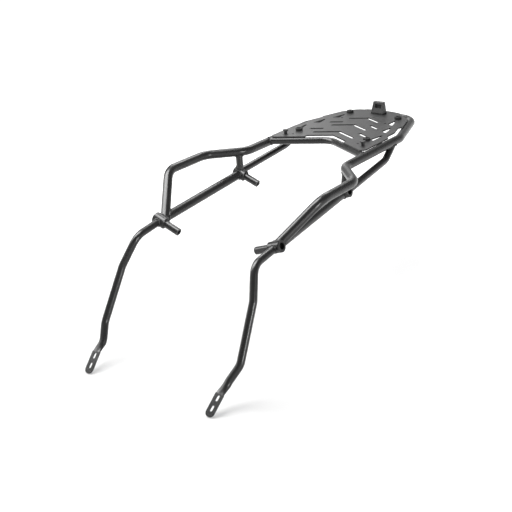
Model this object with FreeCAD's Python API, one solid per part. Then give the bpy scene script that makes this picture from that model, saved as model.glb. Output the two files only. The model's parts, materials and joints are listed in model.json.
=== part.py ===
import FreeCAD, Part
import math
import os

# Motorcycle luggage rack: a welded tube frame with a slotted carrying plate.
# Millimetres. +X is the rider's left, +Y points to the rear, +Z up.
# The origin lies on the plate's top face, on the centre line, near the plate's middle.

V = FreeCAD.Vector

# Tube stock
main_od = 20.0
main_wall = 2.0
main_bend = 45.0
small_od = 16.0
small_wall = 1.5
small_bend = 36.0
weld_gap = 0.2

# Carrying plate
plate_thick = 3.0
plate_seat = 0.2
plate_corner = 2.5
chevron_deg = 29.0
plate_edge_inset = 3.0
plate_tip_inset = 9.5
plate_tip_back = 10.0
front_edge_lead = 3.5
front_recess_half = 53.0
front_recess_depth = 12.0
side_recess_depth = 9.0
side_recess_front = -42.0
side_recess_rear = 52.0
rear_corner_front_y = 116.0
rear_corner_x = 45.0
rear_crown = 6.0
plate_rear_lead = 1.0

# Slots of the plate, on the left: chevrons across the middle, short arms beside them, wedges along the side
slot_width = 9.0
chevron_count = 3
chevron_y = -48.0
chevron_pitch = 66.5
chevron_half = 55.0
chevron_taper = 7.0
short_count = 2
short_y = -14.0
short_pitch = 64.0
short_inner_x = 48.5
short_outer_x = 77.5
short_taper = 11.0
front_wedge_inset = 19.5
front_wedge_width = 11.5
front_wedge_y = -77.0
front_wedge_length = 44.0
middle_wedge_inset = 25.0
middle_wedge_width = 16.5
middle_wedge_y = -10.0
middle_wedge_length = 40.0
rear_wedge_inset = 27.0
rear_wedge_width = 17.5
rear_wedge_y = 50.0
rear_wedge_length = 39.0
wedge_rear_width = 4.5

# Bare holes of the plate, on the left
plate_hole_d = 5.5
front_hole_inset = 38.0
front_hole_y = -113.0
rear_hole_x = 60.0
rear_hole_y = 60.5

# Main loop, left half: corners of its centre line, seen from above, and where its upright meets the boss
upright_inset = 6.0
upright_set_back = 7.5
rack_width = 412.0
grab_front_y = -434.0
grab_rear_y = -310.0
side_x = 128.5
side_front_y = -240.0
side_rear_y = 5.0
rear_x = 79.5
rear_y = 164.0

# Front cross tube
cross_vertex_y = -85.5

# Bosses that take the mounting bolts: middle of the outer faces, on the left
mount_tilt_deg = 20.0
front_mount_x = 162.0
front_mount_y = -525.0
front_mount_z = -85.0
rear_mount_x = 152.0
rear_mount_y = -256.0
rear_mount_z = -58.0
collar_od = 25.0
collar_length = 30.0
collar_edge = 1.5
counterbore_d = 14.5
counterbore_depth = 9.0
bolt_bore_d = 8.5
spacer_od = 16.0
spacer_length = 36.0

# Rear brace and strut, on the left: the brace's bend is measured from its upper end on the loop
brace_outset = 5.5
brace_top_y = -20.0
brace_bend_out = 6.5
brace_bend_ahead = 53.0
brace_bend_drop = 29.8
strut_lean = 2.8

# Leg, on the left: the knee is measured from the boss, the ankle from boss and plate, shin and wrist from
# the ankle, then comes the pressed tab
knee_out = 1.1
knee_ahead = 74.0
knee_drop = 9.9
leg_spread = 348.0
leg_reach = 166.0
leg_drop = 264.0
shin_in = 7.0
shin_back = 59.0
shin_rise = 105.0
wrist_in = 12.5
wrist_ahead = 21.8
wrist_drop = 28.3
tab_turn_in_deg = 6.6
tab_dip_deg = 42.9
wrist_to_press = 7.0
leg_press_length = 21.0
tab_width = 19.0
tab_squeeze = 0.4
tab_length = 47.5
tab_slot_length = 12.5
tab_slot_width = 6.6
tab_slot_pitch = 21.3
tab_end_margin = 17.0

# Rubber feet, their screws and the tabs that carry the plate
front_foot_inset = 34.0
front_foot_y = -81.0
rear_foot_inset = 25.8
rear_foot_y = 111.0
foot_od = 17.0
foot_height = 6.0
foot_edge = 1.5
foot_floor = 2.0
screw_d = 5.0
screw_clear = 0.5
screw_head_d = 8.5
screw_head_height = 3.0
screw_head_clear = 0.4
socket_af = 4.0
socket_depth = 2.0
nut_af = 8.0
nut_height = 4.7
thread_proud = 2.0
thread_clear = 0.2
plate_tab_width = 20.0
plate_tab_thick = 3.0
plate_tab_reach = 10.0

# Locating studs
stud_inset = 21.5
stud_y = -119.0
stud_stem_d = 8.0
stud_height = 10.5
stud_head_d = 12.5
stud_head_height = 3.0
stud_head_edge = 1.0
stud_shank_d = 6.0
stud_nut_af = 10.0
stud_nut_height = 5.0

# Catch block and its pad
block_front_y = 127.0
block_depth = 17.5
block_width = 35.0
block_height = 26.5
block_top_width = 29.5
block_top_depth = 8.0
block_front_lean = 7.0
block_edge = 2.0
block_panel_rim = 3.5
block_panel_depth = 0.8
block_window_width = 18.0
block_window_height = 10.0
block_window_depth = 7.0
block_window_down = 6.0
pad_margin = 0.5
pad_thick = 3.0
block_screw_gap = 20.0
block_screw_floor = 2.0
block_screw_head_height = 3.5

# How closely an edge has to lie at a height, or along a direction, to be picked
pick_tolerance = 0.1


def mirrored(shape):
    """The same piece on the rider's right."""
    return shape.mirror(V(0, 0, 0), V(1, 0, 0))


def flip(point):
    """A point moved to the rider's right."""
    return V(-point.x, point.y, point.z)


def largest(shape):
    """The main solid of a cut, without slivers left at its ends."""
    return max(shape.Solids, key=lambda solid: solid.Volume)


def bent_path(points, radius):
    """Straight runs through the points, joined by tangent arcs of one bend radius."""
    edges = []
    start = points[0]
    for before, corner, after in zip(points, points[1:], points[2:]):
        into = (corner - before).normalize()
        out = (after - corner).normalize()
        turn = into.getAngle(out)
        cut = radius * math.tan(turn / 2)
        first = corner - into * cut
        last = corner + out * cut
        bulge = (out - into).normalize()
        sag = radius / math.cos(turn / 2) - radius
        edges.append(Part.LineSegment(start, first).toShape())
        edges.append(Part.Arc(first, corner + bulge * sag, last).toShape())
        start = last
    edges.append(Part.LineSegment(start, points[-1]).toShape())
    return Part.Wire(edges)


def rod(points, diameter, radius):
    """A round bar of one diameter along a bent path."""
    path = bent_path(points, radius)
    ring = Part.Wire(Part.makeCircle(diameter / 2, points[0], points[1] - points[0]))
    return path.makePipeShell([ring], True, False)


def tube(points, diameter, wall, radius):
    """A bent tube with an open bore."""
    return rod(points, diameter, radius).cut(rod(points, diameter - 2 * wall, radius))


def barrel(start, axis, diameter, length):
    """A straight cylinder from a point along an axis."""
    return Part.makeCylinder(diameter / 2, length, start, axis)


def prism(corners, bottom, top):
    """A flat outline of (x, y) corners raised between two heights."""
    points = [V(x, y, bottom) for x, y in corners]
    face = Part.Face(Part.makePolygon(points + points[:1]))
    return face.extrude(V(0, 0, top - bottom))


def upright_edges(shape):
    """The edges of a plate that stand along its thickness."""
    return [e for e in shape.Edges if abs(e.tangentAt(e.FirstParameter).z) > 1 - pick_tolerance]


def hexagon(across_flats, x, y, bottom, height):
    """A hexagonal prism that stands on its end."""
    corner = across_flats / 2 / math.cos(math.pi / 6)
    turns = [math.pi / 3 * k for k in range(6)]
    ring = [(x + corner * math.cos(a), y + corner * math.sin(a)) for a in turns]
    return prism(ring, bottom, bottom + height)


def hex_nut(across_flats, height, thread_d, x, y, top):
    """A plain nut that hangs under a face."""
    body = hexagon(across_flats, x, y, top - height, height)
    return body.cut(barrel(V(x, y, top - height), V(0, 0, 1), thread_d + thread_clear, height))


# Heights that follow from the stock: the plate lies on the tubes
plate_bottom = -plate_thick
loop_z = plate_bottom - plate_seat - main_od / 2
cross_z = plate_bottom - plate_seat - small_od / 2
chevron_slope = math.tan(math.radians(chevron_deg))

# The loop seen from above: grab rail, jog inwards, plate's side and taper to the rear
grab_x = (rack_width - main_od) / 2
jog_slope = (grab_x - side_x) / (side_front_y - grab_rear_y)
taper_slope = (side_x - rear_x) / (rear_y - side_rear_y)
side_edge = side_x - plate_edge_inset


def side_at(y, inset):
    """Distance of the plate's side from the centre line, less an inset."""
    return side_edge - inset - max(0.0, y - side_rear_y) * taper_slope


# Places on the plate that are measured from its side
plate_tip_x = side_edge - plate_tip_inset
stud_x = side_edge - stud_inset
front_hole_x = side_edge - front_hole_inset
foot_front = (side_at(front_foot_y, front_foot_inset), front_foot_y)
foot_rear = (side_at(rear_foot_y, rear_foot_inset), rear_foot_y)

# Mounting axis on the left, from the outer face inwards and down
tilt = math.radians(mount_tilt_deg)
inward = V(-math.cos(tilt), 0, -math.sin(tilt))
front_mount = V(front_mount_x, front_mount_y, front_mount_z)
rear_mount = V(rear_mount_x, rear_mount_y, rear_mount_z)
front_hub = front_mount + inward * (collar_length / 2)
rear_hub = rear_mount + inward * (collar_length / 2)


def collar(face):
    """Turned boss: a bolt bore with a counterbore for the bolt's head in the outer face."""
    body = barrel(face, inward, collar_od, collar_length)
    rims = [e for e in body.Edges if e.Curve.TypeId == "Part::GeomCircle"]
    body = body.makeChamfer(collar_edge, rims)
    body = body.cut(barrel(face, inward, counterbore_d, counterbore_depth))
    return body.cut(barrel(face, inward, bolt_bore_d, collar_length))


def spacer(face):
    """Thick tube that carries the boss out from the motorcycle."""
    seat = face + inward * collar_length
    body = barrel(seat, inward, spacer_od, spacer_length)
    return body.cut(barrel(seat, inward, bolt_bore_d, spacer_length))


def hub_room(hub):
    """Space that a boss takes from the tubes welded to it."""
    reach = collar_length + main_od
    return barrel(hub - inward * reach, inward, collar_od + 2 * weld_gap, 2 * reach)


front_room = hub_room(front_hub)
rear_room = hub_room(rear_hub)

# Main loop: one tube, the left half and its mirror image
upright_foot = front_hub + inward * upright_inset + V(0, upright_set_back, 0)
half_loop = [
    upright_foot,
    V(grab_x, grab_front_y, loop_z),
    V(grab_x, grab_rear_y, loop_z),
    V(side_x, side_front_y, loop_z),
    V(side_x, side_rear_y, loop_z),
    V(rear_x, rear_y, loop_z),
]
loop_points = half_loop + [flip(p) for p in reversed(half_loop)]
loop_room = rod(loop_points, main_od + 2 * weld_gap, main_bend)

# Lower rail between the two bosses
rail_points = [front_hub, rear_hub]
rail = tube(rail_points, main_od, main_wall, main_bend)
rail = largest(rail.cut(front_room).cut(rear_room))
rail_room = rod(rail_points, main_od + 2 * weld_gap, main_bend)

# The loop's uprights are scribed to the bosses and the rails
main_loop = tube(loop_points, main_od, main_wall, main_bend)
for room in (front_room, rail_room):
    main_loop = main_loop.cut(room).cut(mirrored(room))
main_loop = largest(main_loop)

# Front cross tube: parallel to the plate's notched edge, ends coped to the loop
cross_end_y = cross_vertex_y - chevron_slope * side_x
cross_end = V(side_x, cross_end_y, cross_z)
cross_points = [cross_end, V(0, cross_vertex_y, cross_z), flip(cross_end)]
cross_tube = tube(cross_points, small_od, small_wall, small_bend)
cross_tube = largest(cross_tube.cut(loop_room))

# Rear brace from the rear boss up to the loop beside the plate
brace_foot = rear_hub - inward * brace_outset
brace_top = V(side_x, brace_top_y, loop_z)
brace_points = [brace_foot, brace_top + V(brace_bend_out, -brace_bend_ahead, -brace_bend_drop), brace_top]
brace = tube(brace_points, small_od, small_wall, small_bend)
brace = largest(brace.cut(rear_room).cut(loop_room))
brace_room = rod(brace_points, small_od + 2 * weld_gap, small_bend)

# Strut from the rear boss up to the loop where it jogs inwards
strut_top_y = rear_hub.y + strut_lean
strut_top = V(side_x + max(0.0, side_front_y - strut_top_y) * jog_slope, strut_top_y, loop_z)
strut = tube([rear_hub, strut_top], small_od, small_wall, small_bend)
strut = largest(strut.cut(rear_room).cut(rail_room).cut(brace_room).cut(loop_room))


def band(width, thick, round_part):
    """Closed outline of four edges: a flattened ring, or a circle where width equals thick."""
    half_t = thick / 2
    half_w = width / 2
    flat = half_w - half_t
    reach = flat + half_t * math.cos(round_part)
    rise = half_t * math.sin(round_part)
    right_low = V(reach, -rise, 0)
    right_high = V(reach, rise, 0)
    left_high = V(-reach, rise, 0)
    left_low = V(-reach, -rise, 0)
    if flat > 0:
        upper = Part.LineSegment(right_high, left_high)
        lower = Part.LineSegment(left_low, right_low)
    else:
        upper = Part.Arc(right_high, V(0, half_t, 0), left_high)
        lower = Part.Arc(left_low, V(0, -half_t, 0), right_low)
    right = Part.Arc(right_low, V(half_w, 0, 0), right_high)
    left = Part.Arc(left_high, V(-half_w, 0, 0), left_low)
    return Part.Wire([curve.toShape() for curve in (right, upper, left, lower)])


def pressed_end(width, thick, diameter):
    """Part of a tube that goes from round to flat, with one wall left straight."""
    circle = band(diameter, diameter, math.pi / 6)
    flat = band(width, thick, math.pi / 2)
    flat.translate(V(0, (diameter - thick) / 2, leg_press_length))
    return Part.makeLoft([circle, flat], True, True)


def leg_tab():
    """Flat end with a round tip and two slots in line, along +Z from the press line."""
    tab_thick = 2 * small_wall + tab_squeeze
    radius = tab_width / 2
    plate = Part.makeBox(tab_width, tab_thick, tab_length - radius, V(-radius, -tab_thick / 2, 0))
    tip = V(0, -tab_thick / 2, tab_length - radius)
    plate = plate.fuse(Part.makeCylinder(radius, tab_thick, tip, V(0, 1, 0))).removeSplitter()
    outer_slot = tab_length - tab_end_margin
    for middle in (outer_slot, outer_slot - tab_slot_pitch):
        half = (tab_slot_length - tab_slot_width) / 2
        hole = Part.makeBox(tab_slot_width, tab_thick, 2 * half,
                            V(-tab_slot_width / 2, -tab_thick / 2, middle - half))
        for end in (middle - half, middle + half):
            low = V(0, -tab_thick / 2, end)
            hole = hole.fuse(Part.makeCylinder(tab_slot_width / 2, tab_thick, low, V(0, 1, 0)))
        plate = plate.cut(hole)
    return plate


def leg():
    """Bent tube from the front boss, its lower end pressed flat."""
    turn_in = math.radians(tab_turn_in_deg)
    dip = math.radians(tab_dip_deg)
    along = V(-math.sin(turn_in) * math.cos(dip), -math.cos(turn_in) * math.cos(dip), -math.sin(dip))
    across = V(1, 0, 0) - along * along.x
    across.normalize()
    normal = along.cross(across)
    knee = front_hub + V(knee_out, -knee_ahead, -knee_drop)
    ankle = V(leg_spread / 2, front_hub.y - leg_reach, -leg_drop)
    shin = ankle + V(-shin_in, shin_back, shin_rise)
    wrist = ankle + V(-wrist_in, -wrist_ahead, -wrist_drop)
    press = wrist + along * wrist_to_press
    matrix = FreeCAD.Matrix(across.x, normal.x, along.x, press.x,
                            across.y, normal.y, along.y, press.y,
                            across.z, normal.z, along.z, press.z)
    tab_thick = 2 * small_wall + tab_squeeze
    hollow = pressed_end(tab_width - 2 * small_wall, tab_squeeze, small_od - 2 * small_wall)
    end = pressed_end(tab_width, tab_thick, small_od).cut(hollow)
    flat = leg_tab()
    flat.translate(V(0, (small_od - tab_thick) / 2, leg_press_length))
    end = end.fuse(flat)
    end.Placement = FreeCAD.Placement(matrix)
    points = [front_hub, knee, shin, ankle, wrist, press]
    upper = largest(tube(points, small_od, small_wall, small_bend).cut(front_room))
    return largest(upper.fuse(end).removeSplitter())


# Carrying plate
front_edge_vertex = cross_vertex_y - front_edge_lead
recess_vertex = front_edge_vertex + front_recess_depth
rear_edge = rear_y + plate_rear_lead


def front_edge(x):
    """Height of the notched front edge, as y, at a distance from the centre line."""
    return front_edge_vertex - chevron_slope * x


def plate_outline():
    """Corners of the plate on its lower face, from the notch round by the left side and back."""
    half = [
        (0, recess_vertex),
        (front_recess_half, front_edge(front_recess_half) + front_recess_depth),
        (front_recess_half, front_edge(front_recess_half)),
        (plate_tip_x, front_edge(plate_tip_x)),
        (side_edge, front_edge(plate_tip_x) + plate_tip_back),
        (side_edge, side_recess_front),
        (side_edge - side_recess_depth, side_recess_front + side_recess_depth),
        (side_edge - side_recess_depth, side_rear_y),
        (side_at(side_recess_rear - side_recess_depth, side_recess_depth),
         side_recess_rear - side_recess_depth),
        (side_at(side_recess_rear, 0), side_recess_rear),
        (side_at(rear_corner_front_y, 0), rear_corner_front_y),
        (rear_corner_x, rear_edge - rear_crown),
    ]
    corners = half + [(-x, y) for x, y in reversed(half[1:])]
    return [V(x, y, plate_bottom) for x, y in corners]


def chevron_slot(vertex, half):
    """V-shaped slot across the centre line, its arms parallel to the front edge."""
    thick = slot_width / math.cos(math.radians(chevron_deg)) / 2
    drop = chevron_slope * half
    corners = [(0, vertex + thick), (half, vertex + thick - drop), (half, vertex - thick - drop),
               (0, vertex - thick), (-half, vertex - thick - drop), (-half, vertex + thick - drop)]
    return prism(corners, plate_bottom, 0)


def short_slot(vertex, inner, outer):
    """One straight arm of a chevron, to the left of the centre line."""
    thick = slot_width / math.cos(math.radians(chevron_deg)) / 2
    low = vertex - chevron_slope * outer
    high = vertex - chevron_slope * inner
    corners = [(inner, high - thick), (outer, low - thick), (outer, low + thick), (inner, high + thick)]
    return prism(corners, plate_bottom, 0)


def wedge_slot(inset, front_width, front, length):
    """Wedge-shaped slot beside the plate's edge, narrow at the rear, ends cut along the chevrons."""
    corners = []
    for y, width in ((front, front_width), (front + length, wedge_rear_width)):
        outer = side_at(y, inset)
        corners.append([(outer, y), (outer - width, y + chevron_slope * width)])
    return prism(corners[0] + corners[1][::-1], plate_bottom, 0)


def top_plate():
    """Laser-cut plate with rounded corners, slots and screw holes."""
    corners = plate_outline()
    rear = len(corners) // 2
    runs = [Part.LineSegment(a, b) for a, b in zip(corners, corners[1:] + corners[:1])]
    runs[rear] = Part.Arc(corners[rear], V(0, rear_edge, plate_bottom), corners[rear + 1])
    face = Part.Face(Part.Wire([run.toShape() for run in runs]))
    plate = face.extrude(V(0, 0, plate_thick))
    plate = plate.makeFillet(plate_corner, upright_edges(plate))
    cuts = []
    for k in range(chevron_count):
        cuts.append(chevron_slot(chevron_y + k * chevron_pitch, chevron_half - k * chevron_taper))
    left = [
        wedge_slot(front_wedge_inset, front_wedge_width, front_wedge_y, front_wedge_length),
        wedge_slot(middle_wedge_inset, middle_wedge_width, middle_wedge_y, middle_wedge_length),
        wedge_slot(rear_wedge_inset, rear_wedge_width, rear_wedge_y, rear_wedge_length),
    ]
    for k in range(short_count):
        taper = k * short_taper
        left.append(short_slot(short_y + k * short_pitch, short_inner_x - taper, short_outer_x - taper))
    cuts += left + [mirrored(s) for s in left]
    cuts = [s.makeFillet(plate_corner, upright_edges(s)) for s in cuts]
    screw_hole_d = screw_d + screw_clear
    spots = [(front_hole_x, front_hole_y, plate_hole_d), (rear_hole_x, rear_hole_y, plate_hole_d)]
    spots += [(x, y, screw_hole_d) for x, y in (foot_front, foot_rear)]
    spots.append((stud_x, stud_y, stud_shank_d + screw_clear))
    spots.append((block_screw_gap / 2, block_screw_y, screw_hole_d))
    holes = [barrel(V(x, y, plate_bottom), V(0, 0, 1), d, plate_thick) for x, y, d in spots]
    cuts += holes + [mirrored(hole) for hole in holes]
    return plate.cut(Part.Compound(cuts))


def plate_tab(spot):
    """Strip under the plate, from a foot's screw out to the loop."""
    x, y = spot
    half = plate_tab_width / 2
    inner = x - plate_tab_reach
    bottom = plate_bottom - plate_tab_thick
    corners = [(inner, y - half), (side_x, y - half), (side_x, y + half), (inner, y + half)]
    strip = prism(corners, bottom, plate_bottom)
    strip = strip.cut(barrel(V(x, y, bottom), V(0, 0, 1), screw_d + screw_clear, plate_tab_thick))
    pieces = strip.cut(loop_room).Solids
    return min(pieces, key=lambda solid: solid.BoundBox.XMin)


def rubber_foot(spot):
    """Round pad with its screw's head sunk below the top."""
    x, y = spot
    up = V(0, 0, 1)
    body = barrel(V(x, y, 0), up, foot_od, foot_height)
    top = [e for e in body.Edges if e.CenterOfMass.z > foot_height - foot_edge]
    body = body.makeFillet(foot_edge, top)
    body = body.cut(barrel(V(x, y, 0), up, screw_d + screw_clear, foot_height))
    return body.cut(barrel(V(x, y, foot_floor), up, screw_head_d + 2 * screw_head_clear, foot_height))


def foot_screw(spot):
    """Socket-head screw from the foot's floor down through plate, tab and nut."""
    x, y = spot
    length = foot_floor + plate_thick + plate_tab_thick + nut_height + thread_proud
    shank = barrel(V(x, y, foot_floor - length), V(0, 0, 1), screw_d, length)
    head = barrel(V(x, y, foot_floor), V(0, 0, 1), screw_head_d, screw_head_height)
    screw = shank.fuse(head).removeSplitter()
    socket = hexagon(socket_af, x, y, foot_floor + screw_head_height - socket_depth, socket_depth)
    return screw.cut(socket)


def locating_stud(x, y):
    """Mushroom stud that stands on the plate, with a threaded shank through it."""
    up = V(0, 0, 1)
    head_bottom = stud_height - stud_head_height
    shank_length = plate_thick + stud_nut_height + thread_proud
    head = barrel(V(x, y, head_bottom), up, stud_head_d, stud_head_height)
    top_rim = [e for e in head.Edges if e.CenterOfMass.z > stud_height - pick_tolerance]
    head = head.makeFillet(stud_head_edge, top_rim)
    stud = head.fuse(barrel(V(x, y, 0), up, stud_stem_d, head_bottom))
    stud = stud.fuse(barrel(V(x, y, -shank_length), up, stud_shank_d, shank_length))
    return stud.removeSplitter()


# Catch block: stands on its pad, screwed from below
block_screw_y = block_front_y + block_depth / 2
block_screw_spots = (block_screw_gap / 2, -block_screw_gap / 2)
block_top = pad_thick + block_height
window_top = block_top - block_window_down
window_bottom = window_top - block_window_height
block_screw_bite = window_bottom - pad_thick - block_screw_floor - thread_proud


def rectangle(width, front, depth, height):
    """Level rectangle across the centre line, as a closed outline."""
    half = width / 2
    corners = [V(-half, front, height), V(half, front, height),
               V(half, front + depth, height), V(-half, front + depth, height)]
    return Part.makePolygon(corners + corners[:1])


def block_front_at(z):
    """Where the block's leaning front face lies, as y, at a height."""
    return block_front_y + block_front_lean * (z - pad_thick) / block_height


def block_half_at(z):
    """Half of the block's width at a height."""
    return (block_width + (block_top_width - block_width) * (z - pad_thick) / block_height) / 2


def block_screw_hole(x, diameter, bottom, length):
    """A round hole or shank at one of the block's two screws."""
    return barrel(V(x, block_screw_y, bottom), V(0, 0, 1), diameter, length)


def front_panel():
    """Shallow field sunk into the block's front face, inside an even rim."""
    corners = []
    for side, z in ((-1, pad_thick + block_panel_rim), (1, pad_thick + block_panel_rim),
                    (1, block_top - block_panel_rim), (-1, block_top - block_panel_rim)):
        x = side * (block_half_at(z) - block_panel_rim)
        corners.append(V(x, block_front_at(z) - block_panel_depth, z))
    return Part.Face(Part.makePolygon(corners + corners[:1])).extrude(V(0, 2 * block_panel_depth, 0))


def catch_block():
    """Tapered block with a leaning front face and a window that the lock's tongue enters."""
    foot = rectangle(block_width, block_front_y, block_depth, pad_thick)
    crown = rectangle(block_top_width, block_front_y + block_front_lean, block_top_depth, block_top)
    body = Part.makeLoft([foot, crown], True, True)
    raised = [e for e in body.Edges if e.CenterOfMass.z > pad_thick + pick_tolerance]
    body = body.makeFillet(block_edge, raised)
    window_back = block_front_at((window_top + window_bottom) / 2) + block_window_depth
    window = Part.makeBox(block_window_width, window_back - block_front_y, block_window_height,
                          V(-block_window_width / 2, block_front_y, window_bottom))
    body = body.cut(front_panel()).cut(window)
    for x in block_screw_spots:
        hole_depth = block_screw_bite + thread_proud
        body = body.cut(block_screw_hole(x, screw_d + thread_clear, pad_thick, hole_depth))
    return body


def catch_block_pad():
    """Thin moulded base under the catch block."""
    outline = rectangle(block_width + 2 * pad_margin, block_front_y - pad_margin,
                        block_depth + 2 * pad_margin, 0)
    pad = Part.Face(outline).extrude(V(0, 0, pad_thick))
    pad = pad.makeFillet(plate_corner, upright_edges(pad))
    for x in block_screw_spots:
        pad = pad.cut(block_screw_hole(x, screw_d + screw_clear, 0, pad_thick))
    return pad


def block_screw(x):
    """Pan-head screw from under the plate into the block."""
    length = plate_thick + pad_thick + block_screw_bite
    head_bottom = plate_bottom - block_screw_head_height
    shank = block_screw_hole(x, screw_d, plate_bottom, length)
    head = block_screw_hole(x, screw_head_d, head_bottom, block_screw_head_height)
    socket = hexagon(socket_af, x, block_screw_y, head_bottom, socket_depth)
    return shank.fuse(head).removeSplitter().cut(socket)


left_feet = {"front": foot_front, "rear": foot_rear}
right_feet = {name: (-x, y) for name, (x, y) in left_feet.items()}
all_feet = list(left_feet.values()) + list(right_feet.values())
stud_spots = [(stud_x, stud_y), (-stud_x, stud_y)]
foot_nut_top = plate_bottom - plate_tab_thick

nodes = {"main_loop_tube": main_loop, "front_cross_tube": cross_tube, "top_plate": top_plate()}

# Pieces made once on the left and mirrored
paired = {
    "lower_rail": rail,
    "rear_brace": brace,
    "strut": strut,
    "leg": leg(),
    "front_collar": collar(front_mount),
    "rear_collar": collar(rear_mount),
    "front_spacer": spacer(front_mount),
    "rear_spacer": spacer(rear_mount),
    "locating_stud": locating_stud(stud_x, stud_y),
}
for place, spot in left_feet.items():
    paired[place + "_plate_tab"] = plate_tab(spot)
    paired[place + "_rubber_foot"] = rubber_foot(spot)
for name, shape in paired.items():
    nodes["left_" + name] = shape
    nodes["right_" + name] = mirrored(shape)

nodes["catch_block"] = catch_block()
nodes["catch_block_pad"] = catch_block_pad()
nodes["catch_block_screws"] = Part.Compound([block_screw(x) for x in block_screw_spots])
nodes["foot_screws"] = Part.Compound([foot_screw(spot) for spot in all_feet])
foot_nuts = [hex_nut(nut_af, nut_height, screw_d, x, y, foot_nut_top) for x, y in all_feet]
stud_nuts = [hex_nut(stud_nut_af, stud_nut_height, stud_shank_d, x, y, plate_bottom) for x, y in stud_spots]
nodes["foot_nuts"] = Part.Compound(foot_nuts)
nodes["stud_nuts"] = Part.Compound(stud_nuts)

os.makedirs("parts", exist_ok=True)
for name, shape in nodes.items():
    shape.exportStep("parts/" + name + ".step")
    state = "valid" if shape.isValid() else "NOT VALID"
    print(name, len(shape.Solids), "solids", round(shape.Volume), "mm3", state)
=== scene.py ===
import json
import math

import bpy
import numpy as np
from mathutils import Matrix, Vector


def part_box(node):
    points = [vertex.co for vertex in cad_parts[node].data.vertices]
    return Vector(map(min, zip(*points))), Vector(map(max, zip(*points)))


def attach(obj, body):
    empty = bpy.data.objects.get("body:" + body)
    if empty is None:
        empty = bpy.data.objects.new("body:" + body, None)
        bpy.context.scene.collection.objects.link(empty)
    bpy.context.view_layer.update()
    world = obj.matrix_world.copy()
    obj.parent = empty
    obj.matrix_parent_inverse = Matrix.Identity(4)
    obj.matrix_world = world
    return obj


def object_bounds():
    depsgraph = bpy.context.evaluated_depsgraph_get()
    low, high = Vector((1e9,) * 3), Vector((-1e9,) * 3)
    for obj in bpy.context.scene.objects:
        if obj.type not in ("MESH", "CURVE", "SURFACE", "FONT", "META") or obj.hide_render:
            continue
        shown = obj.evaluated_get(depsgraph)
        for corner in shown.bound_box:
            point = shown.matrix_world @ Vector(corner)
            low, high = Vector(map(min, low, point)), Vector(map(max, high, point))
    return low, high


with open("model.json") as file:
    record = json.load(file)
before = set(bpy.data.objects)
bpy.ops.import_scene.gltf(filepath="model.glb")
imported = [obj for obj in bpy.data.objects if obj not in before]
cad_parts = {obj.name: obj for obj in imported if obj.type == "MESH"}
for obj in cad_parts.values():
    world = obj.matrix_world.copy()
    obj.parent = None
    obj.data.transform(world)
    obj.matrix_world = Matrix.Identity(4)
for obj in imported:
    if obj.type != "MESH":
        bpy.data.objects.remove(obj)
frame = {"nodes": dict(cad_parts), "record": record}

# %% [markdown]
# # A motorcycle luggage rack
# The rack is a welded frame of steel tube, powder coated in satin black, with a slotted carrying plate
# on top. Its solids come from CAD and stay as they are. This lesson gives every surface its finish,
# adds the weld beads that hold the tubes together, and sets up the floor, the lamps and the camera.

cad_low, cad_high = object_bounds()
scene = bpy.context.scene
scene.view_settings.view_transform = "Standard"
print("the rack measures", [round(x, 3) for x in cad_high - cad_low], "m")

# %% [markdown]
# ## Camera
# The rack is seen from its front left corner, a little from above. A long lens two metres away keeps
# the far side nearly as large as the near one. The camera's axes are worked out from three turns: round
# the rack, down towards it, and a small roll, because the horizon leans a little.

# %% Camera
CAMERA_PLACE = Vector((1.1946, -1.9781, 0.6455))
CAMERA_ROUND = math.radians(37.04)
CAMERA_DOWN = math.radians(22.79)
CAMERA_ROLL = math.radians(-2.79)
FOCAL_LENGTH_PIXELS = 1000.0
IMAGE_PIXELS = 512.0
SENSOR_MM = 36.0


def camera_axes(round_turn, down_turn, roll):
    """Columns are the camera's right, up and back directions: level axes, then rolled about the view."""
    right = Vector((math.cos(round_turn), math.sin(round_turn), 0.0))
    ahead = Vector((-math.sin(round_turn) * math.cos(down_turn),
                    math.cos(round_turn) * math.cos(down_turn), -math.sin(down_turn)))
    up = right.cross(ahead)
    rolled_right = right * math.cos(roll) + up * math.sin(roll)
    rolled_up = up * math.cos(roll) - right * math.sin(roll)
    return Matrix((rolled_right, rolled_up, -ahead)).transposed()


camera_data = bpy.data.cameras.new("camera")
camera_data.sensor_width = SENSOR_MM
camera_data.lens = SENSOR_MM * FOCAL_LENGTH_PIXELS / IMAGE_PIXELS
camera = bpy.data.objects.new("camera", camera_data)
scene.collection.objects.link(camera)
camera.matrix_world = (Matrix.Translation(CAMERA_PLACE)
                       @ camera_axes(CAMERA_ROUND, CAMERA_DOWN, CAMERA_ROLL).to_4x4())
scene.camera = camera
print("lens", round(camera_data.lens, 1), "mm")

# %% [markdown]
# ## Surfaces from arrays
# Every new piece here is a grid of points worked out as one numpy array. A closed direction joins its
# last row to its first. The faces follow from the grid's shape alone, so one helper serves the floor
# and the weld beads.

# %% Grid helper


def grid_object(name, points, closed_rows=False, closed_columns=False):
    """Quads between neighbours of a (rows, columns, 3) array; a closed direction wraps round."""
    rows, columns = points.shape[:2]
    index = np.arange(rows * columns).reshape(rows, columns)
    if closed_rows:
        index = np.vstack([index, index[:1]])
    if closed_columns:
        index = np.hstack([index, index[:, :1]])
    around = [index[:-1, :-1], index[:-1, 1:], index[1:, 1:], index[1:, :-1]]
    quads = np.stack(around, axis=-1).reshape(-1, 4)
    mesh = bpy.data.meshes.new(name)
    mesh.from_pydata(points.reshape(-1, 3).tolist(), [], quads.tolist())
    mesh.polygons.foreach_set("use_smooth", np.ones(len(quads), dtype=bool))
    mesh.update()
    made = bpy.data.objects.new(name, mesh)
    scene.collection.objects.link(made)
    return made


print("grid helper ready")

# %% [markdown]
# ## Shader expressions
# A finish is a small calculation: noise, scaled and added. Written as Python, it stays readable: a
# wrapped socket takes part in sums and products, and each operator adds one Math node.

# %% Shader helper


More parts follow.
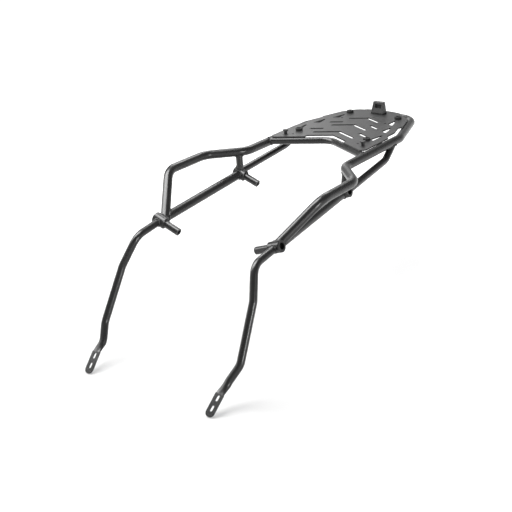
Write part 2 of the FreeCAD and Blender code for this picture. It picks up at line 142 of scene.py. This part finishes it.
class Wire:
    """A socket of a node tree. Sums, differences and products on it add Math nodes."""

    def __init__(self, tree, socket):
        self.tree = tree
        self.socket = socket

    def node(self, kind, settings=None, inputs=None, output=0):
        """Adds a node to this wire's tree: settings first, then the sockets' values or wires."""
        made = self.tree.nodes.new(kind)
        for name, value in (settings or {}).items():
            setattr(made, name, value)
        for name, value in (inputs or {}).items():
            if isinstance(value, Wire):
                self.tree.links.new(value.socket, made.inputs[name])
            else:
                made.inputs[name].default_value = value
        return Wire(self.tree, made.outputs[output] if made.outputs else None)

    def math(self, operation, first, second):
        return self.node("ShaderNodeMath", {"operation": operation}, {0: first, 1: second})

    def __add__(self, other):
        return self.math("ADD", self, other)

    def __radd__(self, other):
        return self.math("ADD", other, self)

    def __sub__(self, other):
        return self.math("SUBTRACT", self, other)

    def __mul__(self, other):
        return self.math("MULTIPLY", self, other)

    def clamped(self):
        return self.node("ShaderNodeClamp", None, {"Value": self})


def empty_tree(owner):
    """Clears a material's or world's nodes and returns a wire that only knows the tree."""
    owner.use_nodes = True
    owner.node_tree.nodes.clear()
    return Wire(owner.node_tree, None)


print("shader helper ready")

# %% [markdown]
# ## Floor and world
# The rack stands on its two leg ends on a plain white floor. The floor adds a glow of its own for rays
# that see it directly or in a reflection, so it reads as white, and its lit part still darkens where a
# leg end keeps the lamps away. The backdrop is white near the horizon and dims towards the ceiling,
# which keeps the black tubes dark between their highlights.

# %% Floor and world
WHITE = (1.0, 1.0, 1.0, 1.0)
FLOOR_HALF_SIZE = 14.0
FLOOR_GREY = 0.37
FLOOR_GLOW_NEAR = 0.35
FLOOR_GLOW_FAR = 1.0
GLOW_STARTS = 0.2
GLOW_ENDS = 1.7
AMBIENT = 0.25
HORIZON = 0.0
BACKDROP_TOP = 0.45


def seen_directly(wire):
    """1 for rays from the camera and for mirrored or refracted rays, 0 for received light."""
    kinds = [wire.node("ShaderNodeLightPath", output=name)
             for name in ("Is Camera Ray", "Is Glossy Ray", "Is Transmission Ray")]
    return (kinds[0] + kinds[1] + kinds[2]).clamped()


def white_floor():
    """Diffuse grey plus a glow for direct and mirrored rays, which grows away from the leg tips."""
    material = bpy.data.materials.new("white_floor")
    start = empty_tree(material)
    matt = start.node("ShaderNodeBsdfDiffuse", None, {"Color": (FLOOR_GREY,) * 3 + (1.0,)})
    place = start.node("ShaderNodeTexCoord", output="Object")
    between_tips = (0.0, cad_low.y, cad_low.z)
    away = start.node("ShaderNodeVectorMath", {"operation": "DISTANCE"},
                      {0: place, 1: between_tips}, output="Value")
    glow = start.node("ShaderNodeMapRange", {"interpolation_type": "SMOOTHSTEP"},
                      {"Value": away, "From Min": GLOW_STARTS, "From Max": GLOW_ENDS,
                       "To Min": FLOOR_GLOW_NEAR, "To Max": FLOOR_GLOW_FAR})
    light = start.node("ShaderNodeEmission", None, {"Strength": seen_directly(start) * glow})
    both = start.node("ShaderNodeAddShader", None, {0: matt, 1: light})
    start.node("ShaderNodeOutputMaterial", None, {"Surface": both})
    return material


def white_world():
    """White near the horizon for rays that see it, dim above and as a light; z sets the fade."""
    world = bpy.data.worlds.new("white_world")
    start = empty_tree(world)
    direction = start.node("ShaderNodeTexCoord", output="Generated")
    height = start.node("ShaderNodeSeparateXYZ", None, {0: direction}, output="Z")
    backdrop = start.node("ShaderNodeMapRange", {"interpolation_type": "SMOOTHSTEP"},
                          {"Value": height, "From Min": HORIZON, "From Max": BACKDROP_TOP,
                           "To Min": 1.0, "To Max": 0.0})
    strength = AMBIENT + seen_directly(start) * backdrop * (1.0 - AMBIENT)
    sky = start.node("ShaderNodeBackground", None, {"Color": WHITE, "Strength": strength})
    start.node("ShaderNodeOutputWorld", None, {"Surface": sky})
    return world


edge = np.linspace(-FLOOR_HALF_SIZE, FLOOR_HALF_SIZE, 2)
floor_x, floor_y = np.meshgrid(edge, edge)
floor_z = np.full_like(floor_x, cad_low.z)
floor = grid_object("floor", np.stack([floor_x, floor_y, floor_z], axis=-1))
floor.data.materials.append(white_floor())
scene.world = white_world()
print("floor at", round(cad_low.z, 4), "m")

# %% [markdown]
# ## Lamps
# A black tube shows its shape only by what it mirrors, so each lamp is a soft panel placed where some
# tube mirrors it towards the camera. The one overhead draws the broad band on the uprights, the one
# behind draws the line along the top of the rails, the slim one on the right draws the line down the
# legs, and the one on the left catches the spacers. A weak panel low behind gives the plate its sheen.

# %% Lamps
LAMPS = {
    "overhead_panel": {"place": (-0.8, -0.7, 1.75), "size": (1.2, 1.9), "radiance": 13.0},
    "left_panel": {"place": (-2.2, -1.2, 1.2), "size": (1.0, 1.2), "radiance": 7.0},
    "right_panel": {"place": (2.3, -1.05, 0.25), "size": (0.4, 0.9), "radiance": 21.0},
    "back_panel": {"place": (-0.9, 1.3, 1.75), "size": (1.5, 0.7), "radiance": 7.5},
    "plate_panel": {"place": (-1.25, 1.22, 0.5), "size": (0.76, 0.5), "radiance": 1.5},
}
LAMP_AIM = Vector((0.0, -0.3, -0.1))


def soft_panel(name, place, size, radiance):
    """A rectangular lamp aimed at the rack; its power is radiance times area times pi."""
    data = bpy.data.lights.new(name, "AREA")
    data.shape = "RECTANGLE"
    data.size, data.size_y = size
    data.energy = radiance * size[0] * size[1] * math.pi
    lamp = bpy.data.objects.new(name, data)
    scene.collection.objects.link(lamp)
    lamp.location = place
    lamp.rotation_euler = (LAMP_AIM - Vector(place)).to_track_quat("-Z", "Y").to_euler()
    return lamp


for lamp_name, lamp_values in LAMPS.items():
    made_lamp = soft_panel(lamp_name, **lamp_values)
    print(lamp_name, round(made_lamp.data.energy), "W")

# %% [markdown]
# ## Finishes
# Powder coat melts into a skin with a fine orange peel: tiny waves about a millimetre long. A slow
# noise makes the skin a little thicker here and thinner there, which shows as a slight change of gloss.
# The same calculation with other numbers serves the tubes, the plate, the moulded block and the rubber,
# so one function makes them all.

# %% Finish function
PATCHES_PER_METRE = 14.0
PATCH_DETAIL = 3.0
GRAIN_DETAIL = 2.0
GLOSS_CHANGE = 0.08


def grained_finish(name, dark, light, roughness, grain_size, grain_depth, specular=0.5, metallic=0.0):
    """Slow noise mixes two greys, slow and fine noise change the gloss, and the fine one is the bump."""
    material = bpy.data.materials.new(name)
    start = empty_tree(material)
    place = start.node("ShaderNodeTexCoord", output="Object")
    slow = start.node("ShaderNodeTexNoise", None,
                      {"Vector": place, "Scale": PATCHES_PER_METRE, "Detail": PATCH_DETAIL})
    fine = start.node("ShaderNodeTexNoise", None,
                      {"Vector": place, "Scale": 1.0 / grain_size, "Detail": GRAIN_DETAIL})
    colour = start.node("ShaderNodeMix", {"data_type": "RGBA"},
                        {0: slow, 6: (dark, dark, dark, 1.0), 7: (light, light, light, 1.0)}, output=2)
    gloss = (roughness + (slow + fine - 1.0) * GLOSS_CHANGE).clamped()
    bump = start.node("ShaderNodeBump", None, {"Height": fine, "Strength": 1.0, "Distance": grain_depth})
    shader = start.node("ShaderNodeBsdfPrincipled", None, {
        "Base Color": colour, "Roughness": gloss, "Normal": bump,
        "Metallic": metallic, "Specular IOR Level": specular})
    start.node("ShaderNodeOutputMaterial", None, {"Surface": shader})
    return material


print("finish function ready")

# %% [markdown]
# ## The rack's finishes
# Tubes and plate carry the same satin black powder coat; the plate's is a little duller, because a flat
# sheet is coated lying down and the skin sets coarser. The feet are moulded rubber and scatter nearly
# all light. The catch block and its pad are moulded plastic with a spark-eroded grain. Screws and nuts
# are blackened steel, so they are metal under a dark oxide. Greys are linear, and grain sizes and
# depths are metres.

# %% The rack's finishes
FINISHES = {
    "frame_coat": {"dark": 0.008, "light": 0.013, "roughness": 0.28,
                   "grain_size": 0.0011, "grain_depth": 0.00003},
    "plate_coat": {"dark": 0.012, "light": 0.018, "roughness": 0.41,
                   "grain_size": 0.0008, "grain_depth": 0.00004},
    "foot_rubber": {"dark": 0.010, "light": 0.016, "roughness": 0.72,
                    "grain_size": 0.0006, "grain_depth": 0.00008, "specular": 0.3},
    "stud_coat": {"dark": 0.012, "light": 0.018, "roughness": 0.36,
                  "grain_size": 0.0009, "grain_depth": 0.00004},
    "block_plastic": {"dark": 0.022, "light": 0.032, "roughness": 0.42,
                      "grain_size": 0.0007, "grain_depth": 0.00008},
    "pad_plastic": {"dark": 0.008, "light": 0.012, "roughness": 0.65,
                    "grain_size": 0.0007, "grain_depth": 0.00006, "specular": 0.3},
    "dark_steel": {"dark": 0.06, "light": 0.11, "roughness": 0.38,
                   "grain_size": 0.0005, "grain_depth": 0.00003, "metallic": 1.0},
}
finishes = {name: grained_finish(name, **values) for name, values in FINISHES.items()}
for row in frame["record"]["subparts"]:
    slots = frame["nodes"][row["node"]].data.materials
    slots.clear()
    slots.append(finishes[row["material_slot"]])

# %% [markdown]
# ## Weld beads
# Each tube ends in a saddle cut that follows the tube or boss it meets, and a welder lays a bead along
# that seam. The seam is found by following each line of the tube's wall until it meets the other
# surface. The bead is then a small circle carried along the seam, and its radius rises and falls as the
# pool is fed drop by drop.
#
# First come the centre lines of the tubes on the left. The bosses' places are taken from the record,
# the loop's width and length from its own box, and the other sizes are those of the tube frame.

# %% Sizes of the tube frame
MM_PER_METRE = 1000.0
MAIN_RADIUS = 0.010
SMALL_RADIUS = 0.008
MAIN_BEND = 0.045
SMALL_BEND = 0.036
PLATE_SEAT = 0.0002
COLLAR_RADIUS = 0.0125
COLLAR_HALF = 0.015
COUNTERBORE_DEPTH = 0.009
SPACER_RADIUS = 0.008
GRAB_FRONT_Y = -0.434
GRAB_REAR_Y = -0.310
SIDE_X = 0.1285
SIDE_FRONT_Y = -0.240
SIDE_REAR_Y = 0.005
REAR_CORNER_X = 0.0795
UPRIGHT_INSET = 0.006
UPRIGHT_SET_BACK = 0.0075
CROSS_MIDDLE_Y = -0.0855
CROSS_SWEEP = math.radians(29.0)
BRACE_OUTSET = 0.0055
BRACE_TOP_Y = -0.020
BRACE_BEND_FROM_TOP = (0.0065, -0.053, -0.0298)
STRUT_LEAN = 0.0028
KNEE_FROM_HUB = (0.0011, -0.0740, -0.0099)

loop_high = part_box("main_loop_tube")[1]
grab_x = loop_high.x - MAIN_RADIUS
rear_y = loop_high.y - MAIN_RADIUS
plate_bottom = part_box("top_plate")[0].z
loop_z = plate_bottom - PLATE_SEAT - MAIN_RADIUS
cross_z = plate_bottom - PLATE_SEAT - SMALL_RADIUS
jog_slope = (grab_x - SIDE_X) / (SIDE_FRONT_Y - GRAB_REAR_Y)
print("the loop lies", round(-loop_z * MM_PER_METRE, 1), "mm below the plate's top")

# %% Route helpers
ROUTE_STEP = 0.0005


def unit(vectors):
    """Each vector divided by its length."""
    return vectors / np.linalg.norm(vectors, axis=-1, keepdims=True)


def straight(start, end):
    """Points spaced evenly from one corner to the next."""
    count = max(2, int(np.linalg.norm(end - start) / ROUTE_STEP))
    return start + np.linspace(0.0, 1.0, count)[:, None] * (end - start)


def route(corners, bend):
    """Straight runs joined by arcs of one radius, each about a centre on a corner's bisector."""
    corners = [np.asarray(c, float) for c in corners]
    parts = []
    start = corners[0]
    for corner, after in zip(corners[1:-1], corners[2:]):
        into, out = unit(corner - start), unit(after - corner)
        turn = math.acos(float(into @ out))
        first = corner - into * bend * math.tan(turn / 2)
        inward = unit(out - into * float(into @ out))
        angle = np.linspace(0.0, turn, max(2, int(bend * turn / ROUTE_STEP)))[:, None]
        parts.append(straight(start, first))
        parts.append(first + bend * (np.sin(angle) * into + (1.0 - np.cos(angle)) * inward))
        start = parts[-1][-1]
    parts.append(straight(start, corners[-1]))
    return np.vstack(parts)


def boss_hub(name):
    """Middle of a boss and its outward axis; the bore and the counterbore end at its face."""
    bore = next(m for m in frame["record"]["mounts"] if m["name"] == name)
    axis = np.array(bore["axis"])
    half_bore = bore["dims"]["length_mm"] / MM_PER_METRE / 2
    outward = half_bore + COUNTERBORE_DEPTH - COLLAR_HALF
    return np.array(bore["pos_m"]) + axis * outward, axis


print("route helpers ready")

# %% Tube routes
front_hub, boss_axis = boss_hub("left_front_boss")
rear_hub, _ = boss_hub("left_rear_boss")
upright_foot = front_hub - boss_axis * UPRIGHT_INSET + np.array((0.0, UPRIGHT_SET_BACK, 0.0))
grab_front = np.array((grab_x, GRAB_FRONT_Y, loop_z))
loop_corners = [upright_foot, grab_front, (grab_x, GRAB_REAR_Y, loop_z),
                (SIDE_X, SIDE_FRONT_Y, loop_z), (SIDE_X, SIDE_REAR_Y, loop_z),
                (REAR_CORNER_X, rear_y, loop_z), (0.0, rear_y, loop_z)]
loop_line = route(loop_corners, MAIN_BEND)
brace_foot = rear_hub + boss_axis * BRACE_OUTSET
brace_top = np.array((SIDE_X, BRACE_TOP_Y, loop_z))
brace_corner = brace_top + np.array(BRACE_BEND_FROM_TOP)
brace_line = route([brace_foot, brace_corner, brace_top], SMALL_BEND)
strut_top_y = rear_hub[1] + STRUT_LEAN
strut_top = np.array((SIDE_X + (SIDE_FRONT_Y - strut_top_y) * jog_slope, strut_top_y, loop_z))
cross_end = np.array((SIDE_X, CROSS_MIDDLE_Y - math.tan(CROSS_SWEEP) * SIDE_X, cross_z))
cross_middle = np.array((0.0, CROSS_MIDDLE_Y, cross_z))
leg_knee = front_hub + np.array(KNEE_FROM_HUB)

main_loop = (loop_line, MAIN_RADIUS)
brace = (brace_line, SMALL_RADIUS)
rail = (straight(front_hub, rear_hub), MAIN_RADIUS)
half_collar = boss_axis * COLLAR_HALF
front_collar = (straight(front_hub - half_collar, front_hub + half_collar), COLLAR_RADIUS)
rear_collar = (straight(rear_hub - half_collar, rear_hub + half_collar), COLLAR_RADIUS)
print("loop half", len(loop_line), "points, brace", len(brace_line), "points")

# %% Seams and beads
SEAM_POINTS = 220
TRACE_STEPS = 60
APPROACH = 0.05
BEAD_SIDES = 10
FEWEST_RIPPLES = 8
RIPPLE_PITCH = 0.0017
RIPPLE_DEPTH = 0.13
NO_TUBE_AXIS = (0.31, 0.17, 0.94)


def ring(axis):
    """Unit circle round an axis, as (SEAM_POINTS, 3): cos(t) first + sin(t) (axis x first)."""
    first = unit(np.cross(axis, NO_TUBE_AXIS))
    t = np.linspace(0.0, 2.0 * np.pi, SEAM_POINTS, endpoint=False)[:, None]
    return np.cos(t) * first + np.sin(t) * np.cross(axis, first)


def seam(end, toward, radius, targets):
    """Each wall line of a tube is followed by the room left to the nearest target until none is left."""
    axis = unit(toward - end)
    wall = toward - axis * APPROACH + radius * ring(axis)
    travel = np.zeros((SEAM_POINTS, 1))
    for _ in range(TRACE_STEPS):
        here = wall + travel * axis
        room = np.min([np.linalg.norm(here[:, None] - line[None], axis=2).min(axis=1) - reach
                       for line, reach in targets], axis=0)
        travel = np.clip(travel + room[:, None], 0.0, APPROACH)
    return wall + travel * axis, axis


def bead(name, path, axis, radius):
    """A circle carried along a closed path, left and right: radius (1 + depth cos(ripples t))."""
    ahead = unit(np.roll(path, -1, axis=0) - np.roll(path, 1, axis=0))
    out = unit(np.cross(ahead, axis))
    other = np.cross(ahead, out)
    steps = np.linalg.norm(np.roll(path, -1, axis=0) - path, axis=1)
    along = np.concatenate([[0.0], np.cumsum(steps)[:-1]])
    ripples = max(FEWEST_RIPPLES, round(float(steps.sum()) / RIPPLE_PITCH))
    size = radius * (1.0 + RIPPLE_DEPTH * np.cos(2.0 * np.pi * ripples * along / steps.sum()))
    v = np.linspace(0.0, 2.0 * np.pi, BEAD_SIDES, endpoint=False)
    circle = np.cos(v)[None, :, None] * out[:, None] + np.sin(v)[None, :, None] * other[:, None]
    points = path[:, None] + size[:, None, None] * circle
    for side, sign in (("left", 1.0), ("right", -1.0)):
        shown = points * np.array((sign, 1.0, 1.0))
        shown = shown[:, ::-1] if sign > 0 else shown
        piece = grid_object(side + "_" + name, shown, closed_rows=True, closed_columns=True)
        piece.data.materials.append(finishes["frame_coat"])
        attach(piece, "root")
    return piece


print("seam and bead functions ready")

# %% [markdown]
# ## Laying the beads
# A bead grows with the tube it closes: a thicker wall needs a wider pool. Each row below names the
# tube's line, from its far end to the end that is welded, and the surfaces that it may meet there.

# %% Tube welds
BEAD_SHARE = 0.17
BEAD_LEAST = 0.0004
seams = {
    "upright_weld": (grab_front, upright_foot, MAIN_RADIUS, [front_collar, rail]),
    "rail_front_weld": (rear_hub, front_hub, MAIN_RADIUS, [front_collar]),
    "rail_rear_weld": (front_hub, rear_hub, MAIN_RADIUS, [rear_collar]),
    "leg_weld": (leg_knee, front_hub, SMALL_RADIUS, [front_collar]),
    "brace_foot_weld": (brace_corner, brace_foot, SMALL_RADIUS, [rear_collar]),
    "brace_top_weld": (brace_corner, brace_top, SMALL_RADIUS, [main_loop]),
    "strut_foot_weld": (strut_top, rear_hub, SMALL_RADIUS, [rear_collar, rail, brace]),
    "strut_top_weld": (rear_hub, strut_top, SMALL_RADIUS, [main_loop]),
    "cross_tube_weld": (cross_middle, cross_end, SMALL_RADIUS, [main_loop]),
}
for seam_name, (seam_end, seam_toward, tube_radius, seam_targets) in seams.items():
    seam_path, seam_axis = seam(seam_end, seam_toward, tube_radius, seam_targets)
    made_bead = bead(seam_name, seam_path, seam_axis, BEAD_SHARE * tube_radius + BEAD_LEAST)
    print(seam_name, len(made_bead.data.polygons), "faces")

# %% Spacer welds
SPACER_BEAD = 0.0016
for boss_name, hub in (("front", front_hub), ("rear", rear_hub)):
    spacer_seam = hub - half_collar + SPACER_RADIUS * ring(-boss_axis)
    made_bead = bead(boss_name + "_spacer_weld", spacer_seam, -boss_axis, SPACER_BEAD)
    print(boss_name + " spacer weld", len(made_bead.data.polygons), "faces")
